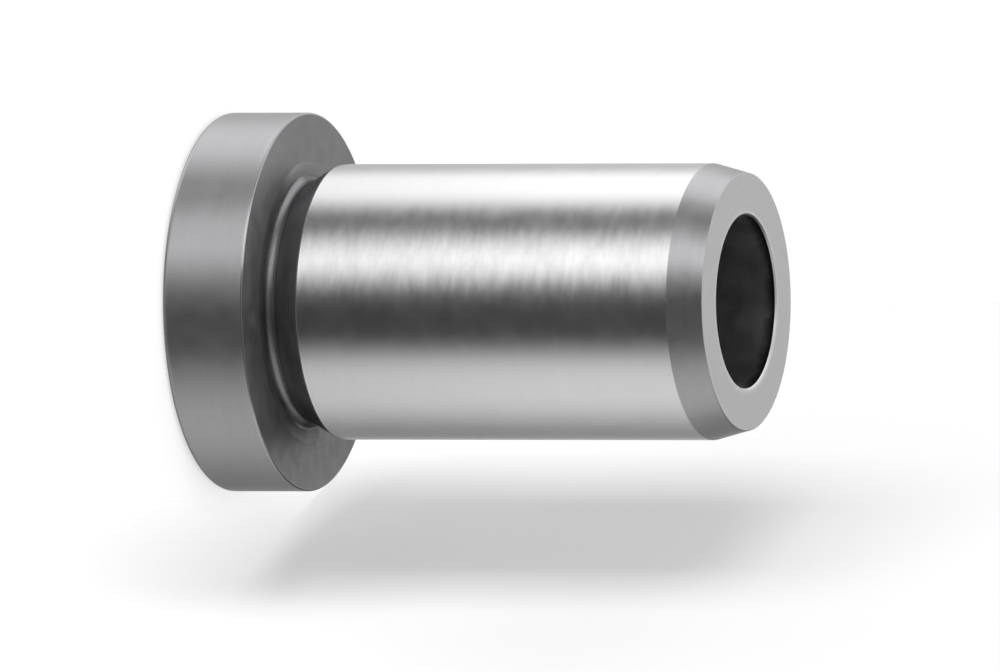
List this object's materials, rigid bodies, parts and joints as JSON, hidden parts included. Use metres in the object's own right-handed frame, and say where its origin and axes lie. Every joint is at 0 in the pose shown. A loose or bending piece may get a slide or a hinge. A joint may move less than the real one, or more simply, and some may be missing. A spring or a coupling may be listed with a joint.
{
  "type": "drill jig bushing",
  "caption": "Headed press-fit drill jig bushing: a flanged steel sleeve with a relief under the head, a tapered pilot end and a guide bore with a rounded mouth.",
  "frame": {"origin": "centre of the head's outer face on the bore axis, where the drill enters; the bushing stands on this face", "axes": "+Z along the bore axis, from the head to the tapered pilot end; round about Z, so X and Y are free"},
  "size_m": [0.011, 0.011, 0.016],
  "materials": {
    "hardened_steel": "satin"
  },
  "bodies": {
    "root": {"drill_bushing": "hardened_steel"}
  },
  "joints": []
}
